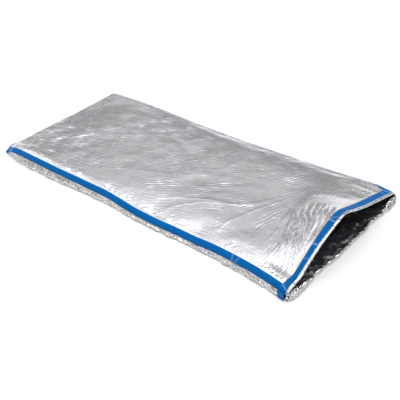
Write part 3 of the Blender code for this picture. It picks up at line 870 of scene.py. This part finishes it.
def side_films(base):
    """The standing films of the long edges, from the tape down to the floor, and the dark lining behind."""
    x = base[:, 0, 0]
    gusset = int(np.searchsorted(x, BEND_X))
    for side, column, outward in (("near", 1, -1), ("far", -2, 1)):
        top = base[:, column]
        outset = curve(FLOOR_OUTSET, x - FOOT_X) if side == "near" else 0.002 + 0 * x
        t = np.linspace(0, 1, WALL_LEVELS)[None, :]
        belly = np.sin(math.pi * t)
        shape = (len(x), 64)
        push = crumple(shape, STEP, 0.046, 0.0028, 70 + column)
        push = (push + crumple(shape, STEP, 0.024, 0.0008, 75 + column))[:, :WALL_LEVELS]
        sway = 0.0018 * soft_field(shape, STEP, 0.04, 80 + column)[:, :WALL_LEVELS] * (0.3 + t)
        points = np.zeros((len(x), WALL_LEVELS, 3))
        points[:, :, 0] = top[:, :1]
        points[:, :, 1] = top[:, 1:2] + outward * (outset[:, None] * smooth(t * 1.3) + 0.004 * belly
                                                   + push * belly ** 0.5 + sway)
        points[:, :, 2] = top[:, 2:3] * (1 - t) + 0.0012 * t + 0.35 * push * (1 - t) * belly ** 0.5
        points[:, :, 2] = np.maximum(points[:, :, 2], 0.0008)
        if outward < 0:
            points = points[:, ::-1]
        (_, foot), (_, body), _ = sections(x)
        stretches = (("foot", points[foot], "side_film_foot", "foot"),
                     ("body", points[body.start:gusset + 1], "side_film_body", "body"),
                     ("lip", points[gusset:], "gusset_lip", "gusset"))
        for name, part, node, section in stretches:
            sheet_piece(f"{side}_wall_{name}", part, "side_film", [f"{side}_{node}"], section)
        lining = points[gusset:-6:2, 1:-1] - np.array((0, outward * 0.008, 0))
        sheet_piece(f"{side}_lining_lip", lining[:, ::-1], "dark_liner", [], "gusset")


def foot_film(base):
    """The standing film of the foot end, with a hole for the inlet."""
    top = base[0, 1:-1]
    low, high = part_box("inlet_housing")
    t = np.linspace(0, 1, WALL_LEVELS)[:, None]
    points = np.zeros((WALL_LEVELS, len(top), 3))
    points[:, :, 1] = top[None, :, 1]
    points[:, :, 2] = top[None, :, 2] * (1 - t) + 0.0012 * t
    for y in (low[1], high[1]):
        points[:, np.argmin(abs(top[:, 1] - y)), 1] = y
    hole = (points[0, :, 1] > low[1] - 1e-6) & (points[0, :, 1] < high[1] + 1e-6)
    for z in (low[2], high[2]):
        level = np.argmin(abs(points[:, hole, 2].mean(axis=1) - z))
        points[level, hole, 2] = z
    away = np.clip((np.abs(points[:, :, 1] - (low[1] + high[1]) / 2) - 0.03) / 0.03, 0, 1)
    push = crumple((64, len(top)), STEP, 0.030, 0.0018, 91)[:WALL_LEVELS]
    points[:, :, 0] = top[None, :, 0] - (0.002 + push) * np.sin(math.pi * t) ** 0.6 * away
    points = points[::-1]
    piece = grid_mesh("foot_end_film", points)
    cut_hole(piece, (low[1], low[2]), (high[1], high[2]))
    thicken(piece, FILM)
    put(piece, MATERIALS["side_film"])
    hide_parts("foot_wall_film")
    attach(piece, "foot_section")


def cut_hole(piece, low, high):
    """Takes out the faces whose middle lies between two (y, z) corners."""
    mesh = bmesh.new()
    mesh.from_mesh(piece.data)
    inside = []
    for face in mesh.faces:
        middle = face.calc_center_median()
        if low[0] < middle.y < high[0] and low[1] < middle.z < high[1]:
            inside.append(face)
    bmesh.ops.delete(mesh, geom=inside, context="FACES")
    mesh.to_mesh(piece.data)
    mesh.free()


# ---- the lower wall ----

def lower_wall(base):
    """The lower wall: film on the floor, wadding, heating film, bus strips and crumpled liner."""
    count_x, count_y, pitch = 330, 150, 0.0055
    station = base[:, 0, 0]
    x = np.linspace(FOOT_X + 0.003, MOUTH_X, count_x)
    low = np.interp(x, station, base[:, 1, 1] - curve(FLOOR_OUTSET, station - FOOT_X))
    high = np.interp(x, station, base[:, -2, 1] + 0.002)
    y = low[:, None] + (high - low)[:, None] * np.linspace(0, 1, count_y)[None, :]
    reach = curve(RIM_REACH, y + HALF_WIDTH) * smooth((x[:, None] - MOUTH_X + 0.1) / 0.1)
    grid = np.stack((x[:, None] + reach, y, 0 * y), axis=-1)
    film = grid.copy()
    film[:, :, 2] = FILM + 0.0006 * smooth(0.5 + 0.5 * soft_field((count_x, count_y), pitch, 0.03, 7))
    sheet_piece("lower_film", film, "silver_film",
                ["lower_film_foot", "lower_film_body", "lower_lip"], "foot")
    inset = grid[5:, 2:-2]
    wadding = inset[:-3].copy()
    wadding[:, :, 2] = WADDING_TOP
    pad("lower_wadding", wadding, 0.0065, ["lower_wadding_foot", "lower_wadding_body"], "foot")
    heater = wadding.copy()
    heater[:, :, 2] = HEATER_TOP
    sheet_piece("lower_heater", heater, "heating_film",
                ["lower_heater_foot", "lower_heater_body"], "foot", 0.0006)
    for side in ("near", "far"):
        box_low, box_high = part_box(f"lower_bus_{side}_body")
        strip = np.zeros((120, 3, 3))
        strip[:, :, 0] = np.linspace(FOOT_X + 0.012, MOUTH_X - 0.03, 120)[:, None]
        strip[:, :, 1] = np.linspace(box_low[1], box_high[1], 3)[None, :]
        strip[:, :, 2] = BUS_TOP
        bus_strip(f"lower_bus_{side}", strip, [f"lower_bus_{side}_foot", f"lower_bus_{side}_body"], "foot")
    liner = inset.copy()
    shape = liner.shape[:2]
    push = crumple(shape, pitch, 0.085, 0.0055, 101) + crumple(shape, pitch, 0.042, 0.0018, 111)
    near_mouth = smooth((liner[:, :, 0] - BEND_X) / 0.25)
    liner[:, :, 2] = LINER_TOP + np.maximum(push + 0.0045, 0.0) * (0.30 + 0.70 * near_mouth)
    ragged = soft_field((shape[1], 64), pitch, 0.012, 131)[:, 0]
    liner[-3:, :, 0] += (0.004 * ragged - 0.002)[None, :] * np.array((0.3, 0.7, 1.0))[:, None]
    sheet_piece("lower_liner", liner, "dark_liner",
                ["lower_liner_foot", "lower_liner_body"], "foot", 0.0005)
    return grid[-1]


def lower_rim(edge):
    """The lower wall's free edge: the outer film rolled up over the wadding and under the liner."""
    count, pitch = 300, 0.0027
    t = np.linspace(0, 1, count)
    path = np.stack([np.interp(t, np.linspace(0, 1, len(edge)), edge[:, k]) for k in range(3)], axis=-1)
    profile = ((-0.012, 0.0005), (-0.002, 0.0006), (0.002, 0.0028), (0.0036, 0.0060), (0.0028, 0.0094),
               (0.0, 0.0118), (-0.005, 0.0128), (-0.011, 0.0122), (-0.018, 0.0108))
    weight = np.array((0, 0.2, 0.7, 1, 1, 1, 1, 0.8, 0.2))[None, :]
    push = crumple((count, 64), pitch, 0.055, 0.0011, 121)[:, :len(profile)]
    sway = 0.0022 * soft_field((count, 64), pitch, 0.045, 125)[:, :1]
    points = np.zeros((count, len(profile), 3))
    for k, (run, rise) in enumerate(profile):
        points[:, k] = path
        points[:, k, 0] += run
        points[:, k, 2] = rise
    points[:, :, 0] += (push + sway) * weight
    points[:, :, 2] += (0.6 * push + 0.5 * sway) * weight
    points[:, :, 2] = np.maximum(points[:, :, 2], 0.0004)
    sheet_piece("lower_rim", points[:, ::-1], "hem_film", [], "body")


def mouth_gathers(base):
    """Film gathered into a small crumpled knob at each mouth corner, below the hem's end."""
    rings, spokes = 46, 28
    for side, column, outward, radius in (("near", 2, -1, 0.0150), ("far", -3, 1, 0.011)):
        top = base[-1, column]
        start = np.array((top[0] + 0.002, top[1], max(top[2] - 0.004, 0.016)))
        end = np.array((MOUTH_X + 0.004, top[1] - outward * 0.13, 0.011))
        t = np.linspace(0, 1, rings)[:, None]
        angle = np.linspace(0, 2 * math.pi, spokes, endpoint=False)[None, :]
        path = start * (1 - t) + end * t
        size = radius * np.sin(math.pi * np.clip(t * 0.92 + 0.04, 0, 1)) ** 0.45 * (1 - 0.35 * t)
        bumps = 1 + 0.16 * random_field((rings, spokes), 0.003, 0.016, 0.02, 30, 141 + column)
        bumps = bumps + 0.10 * random_field((rings, spokes), 0.003, 0.010, 0.02, 120, 142 + column)
        points = np.zeros((rings, spokes, 3))
        points[:, :, 0] = path[:, :1] + size * bumps * np.cos(angle)
        points[:, :, 1] = path[:, 1:2] + 0.3 * size * bumps * np.sin(angle)
        points[:, :, 2] = np.maximum(path[:, 2:3] + size * bumps * np.sin(angle), 0.0008)
        piece = grid_mesh(f"{side}_mouth_gather", points, closed=True)
        put(piece, MATERIALS["side_film"])
        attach(piece, "body_section")


def dress_frame():
    """Materials for the CAD nodes that are shown as they are."""
    finishes = {
        "inlet_plastic": part_material("inlet_plastic", (0.03, 0.03, 0.032), 0.45, 0.0, 900, 0.0002),
        "contact_brass": part_material("contact_brass", (0.75, 0.58, 0.25), 0.3, 1.0, 600, 0.0001),
        "lead_sleeve": part_material("lead_sleeve", (0.45, 0.03, 0.03), 0.5, 0.0, 500, 0.0001),
    }
    for entry in frame["record"]["subparts"]:
        if entry["material_slot"] in finishes:
            node = frame["nodes"][entry["node"]]
            node.data.materials.clear()
            node.data.materials.append(finishes[entry["material_slot"]])


camera()
surroundings()
floor()
MATERIALS = {
    "silver_film": silver_material("silver_film", 1.3),
    "side_film": silver_material("side_film", 1.0, (0.42, 0.425, 0.44), (0.96, 0.96, 0.965), 26),
    "hem_film": silver_material("hem_film", 1.4, (0.42, 0.425, 0.44), (0.86, 0.86, 0.87), 38),
    "blue_tape": tape_material(),
    "dark_liner": liner_material(),
    "wadding": wadding_material(),
    "heating_film": heater_material(),
    "bus_copper": part_material("bus_copper", (0.72, 0.42, 0.26), 0.35, 1.0, 400, 0.0001),
}
surface, surface_arc = outer_surface(int(LENGTH / STEP), int((2 * HALF_WIDTH + 0.09) / STEP))
surface_out = normals(surface)
upper_sheets(surface, surface_out, surface_arc)
long_tapes(surface, surface_out, surface_arc)
foot_tape(surface, surface_out, surface_arc)
lip_tape(surface, surface_out, surface_arc)
lip_hem(surface, surface_out, surface_arc)
corner_wraps(surface)
side_films(surface)
foot_film(surface)
lower_rim(lower_wall(surface))
mouth_gathers(surface)
dress_frame()
bpy.context.scene.view_settings.view_transform = "Standard"
